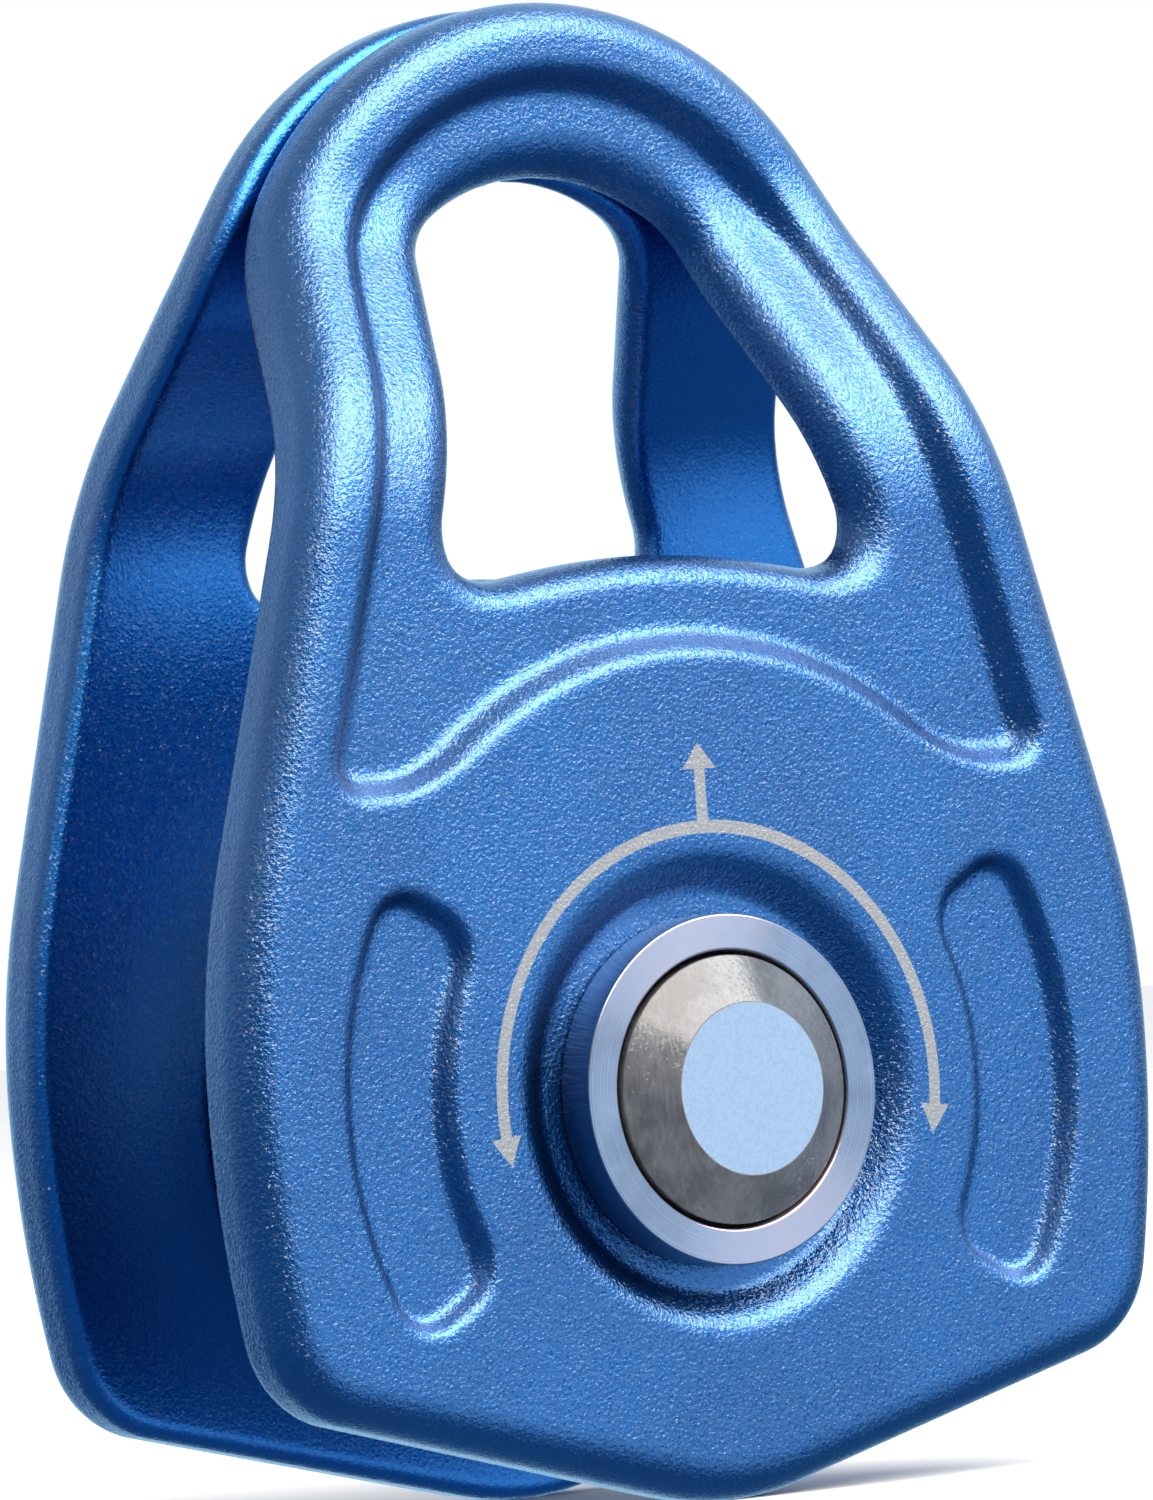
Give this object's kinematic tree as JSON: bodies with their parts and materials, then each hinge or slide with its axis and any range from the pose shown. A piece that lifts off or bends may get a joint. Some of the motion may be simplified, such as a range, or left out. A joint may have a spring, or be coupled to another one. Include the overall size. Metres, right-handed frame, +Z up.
{
  "type": "rope pulley",
  "caption": "Small swing-cheek rope pulley: two joggled anodised cheeks with a connector eye turn on a headed axle either side of a ball-bearing sheave.",
  "frame": {"origin": "centre of the sheave, on the axle and halfway between the cheeks", "axes": "+Z up towards the connector eye, +Y along the axle towards the rear cheek, +X to the right when facing the front cheek"},
  "size_m": [0.0706, 0.0372, 0.0964],
  "materials": {
    "cheek_anodised": "blasted and anodised blue, fine even grain with a satin sparkle",
    "turned_alloy": "fine turned, bright silver",
    "sheave_alloy": "turned, clear anodised",
    "axle_steel": "turned stainless, ground flats",
    "bearing_steel": "ground and polished",
    "spring_steel": "phosphated dark grey",
    "washer_bronze": "plain bronze",
    "cage_brass": "machined",
    "seal_rubber": "moulded black"
  },
  "bodies": {
    "axle": {"axle_barrel": "axle_steel", "axle_screw": "axle_steel", "rear_collar": "turned_alloy", "front_collar": "turned_alloy", "rear_washer": "washer_bronze", "front_washer": "washer_bronze", "rear_spacer": "turned_alloy", "front_spacer": "turned_alloy", "inner_race": "bearing_steel"},
    "rear_cheek": {"rear_cheek": "cheek_anodised"},
    "front_cheek": {"front_cheek": "cheek_anodised"},
    "sheave": {"sheave": "sheave_alloy", "outer_race": "bearing_steel", "rear_shield": "seal_rubber", "front_shield": "seal_rubber", "bearing_circlip": "spring_steel"},
    "ball_set": {"ball_cage": "cage_brass", "ball_1": "bearing_steel", "ball_2": "bearing_steel", "ball_3": "bearing_steel", "ball_4": "bearing_steel", "ball_5": "bearing_steel", "ball_6": "bearing_steel", "ball_7": "bearing_steel", "ball_8": "bearing_steel", "ball_9": "bearing_steel"}
  },
  "joints": [
    {"name": "rear_cheek_swing", "type": "hinge", "parent": "axle", "child": "rear_cheek", "pos_m": [0, 0, 0], "axis": [0, 1, 0], "continuous": true},
    {"name": "front_cheek_swing", "type": "hinge", "parent": "axle", "child": "front_cheek", "pos_m": [0, 0, 0], "axis": [0, 1, 0], "continuous": true},
    {"name": "sheave_spin", "type": "hinge", "parent": "axle", "child": "sheave", "pos_m": [0, 0, 0], "axis": [0, 1, 0], "continuous": true},
    {"name": "ball_orbit", "type": "hinge", "parent": "axle", "child": "ball_set", "pos_m": [0, 0, 0], "axis": [0, 1, 0], "continuous": true}
  ],
  "couplings": [
    {"joint": "ball_orbit", "follows": "sheave_spin", "ratio": 0.619}
  ]
}
